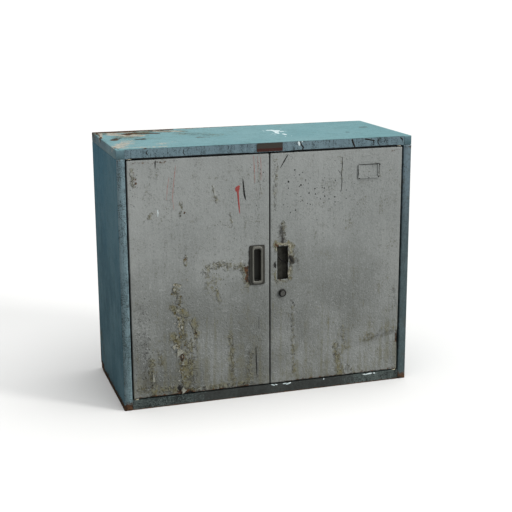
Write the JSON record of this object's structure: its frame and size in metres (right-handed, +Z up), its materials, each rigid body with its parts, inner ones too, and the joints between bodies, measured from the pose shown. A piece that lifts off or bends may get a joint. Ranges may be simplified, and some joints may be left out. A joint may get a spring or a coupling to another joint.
{
  "type": "two-door storage cupboard",
  "caption": "Low sheet-steel cupboard with two hinged doors, an adjustable shelf, a flush pull, and a key lock that throws two rods.",
  "frame": {"origin": "on the floor, under the middle of the carcass", "axes": "+X to the right seen from the front, +Y to the back, +Z up; the doors face -Y"},
  "size_m": [0.88, 0.397, 0.755],
  "materials": {
    "carcass_paint": "weathered teal enamel on sheet steel",
    "door_paint": "weathered grey enamel on sheet steel",
    "pull_steel": "worn pressed steel",
    "dark_steel": "dark worn steel",
    "zinc_plate": "dull zinc plate",
    "nylon": "aged moulded nylon",
    "rubber": "black rubber",
    "magnet": "dark magnet with keeper",
    "enamel_plate": "dark enamelled plate with no text"
  },
  "bodies": {
    "cabinet": {"top_panel": "carcass_paint", "top_front_rail": "carcass_paint", "bottom_front_rail": "carcass_paint", "bottom_rear_rail": "carcass_paint", "floor_panel": "carcass_paint", "back_panel": "carcass_paint", "nameplate": "enamel_plate", "shelf": "carcass_paint", "left_side_panel": "carcass_paint", "left_front_post": "carcass_paint", "left_catch_housing": "nylon", "left_catch_magnet": "magnet", "left_front_upright": "zinc_plate", "left_rear_upright": "zinc_plate", "left_front_shelf_clip": "zinc_plate", "left_rear_shelf_clip": "zinc_plate", "left_upper_bush": "nylon", "left_lower_bush": "nylon", "left_upper_buffer": "rubber", "left_lower_buffer": "rubber", "right_side_panel": "carcass_paint", "right_front_post": "carcass_paint", "right_catch_housing": "nylon", "right_catch_magnet": "magnet", "right_front_upright": "zinc_plate", "right_rear_upright": "zinc_plate", "right_front_shelf_clip": "zinc_plate", "right_rear_shelf_clip": "zinc_plate", "right_upper_bush": "nylon", "right_lower_bush": "nylon", "right_upper_buffer": "rubber", "right_lower_buffer": "rubber"},
    "left_door": {"left_door_skin": "door_paint", "left_door_stiffener": "door_paint", "left_pull_box": "dark_steel", "left_strike_plate": "zinc_plate", "left_upper_pivot_pin": "dark_steel", "left_lower_pivot_pin": "dark_steel", "left_upper_pivot_bracket": "zinc_plate", "left_lower_pivot_bracket": "zinc_plate", "left_flush_pull": "pull_steel"},
    "right_door": {"right_door_skin": "door_paint", "right_door_stiffener": "door_paint", "right_pull_box": "dark_steel", "right_strike_plate": "zinc_plate", "right_upper_pivot_pin": "dark_steel", "right_lower_pivot_pin": "dark_steel", "right_upper_pivot_bracket": "zinc_plate", "right_lower_pivot_bracket": "zinc_plate", "card_holder": "door_paint", "lock_housing": "dark_steel", "lock_nut": "zinc_plate", "upper_rod_guide": "nylon", "lower_rod_guide": "nylon"},
    "lock_cylinder": {"lock_plug": "dark_steel", "lock_cam": "zinc_plate"},
    "upper_rod": {"upper_lock_rod": "zinc_plate"},
    "lower_rod": {"lower_lock_rod": "zinc_plate"}
  },
  "joints": [
    {"name": "left_door_hinge", "type": "hinge", "parent": "cabinet", "child": "left_door", "pos_m": [-0.403, -0.186, 0.378], "axis": [0, 0, -1], "range_deg": [0, 105]},
    {"name": "right_door_hinge", "type": "hinge", "parent": "cabinet", "child": "right_door", "pos_m": [0.403, -0.186, 0.378], "axis": [0, 0, 1], "range_deg": [0, 105]},
    {"name": "lock_turn", "type": "hinge", "parent": "right_door", "child": "lock_cylinder", "pos_m": [0.038, -0.194, 0.31], "axis": [0, -1, 0], "range_deg": [0, 90]},
    {"name": "upper_rod_slide", "type": "slide", "parent": "right_door", "child": "upper_rod", "axis": [0, 0, 1], "range_m": [0, 0.01555]},
    {"name": "lower_rod_slide", "type": "slide", "parent": "right_door", "child": "lower_rod", "axis": [0, 0, -1], "range_m": [0, 0.01557]}
  ],
  "couplings": [
    {"joint": "lock_turn", "follows": "upper_rod_slide", "rad_per_m": 100.98},
    {"joint": "lower_rod_slide", "follows": "upper_rod_slide", "ratio": 1}
  ]
}
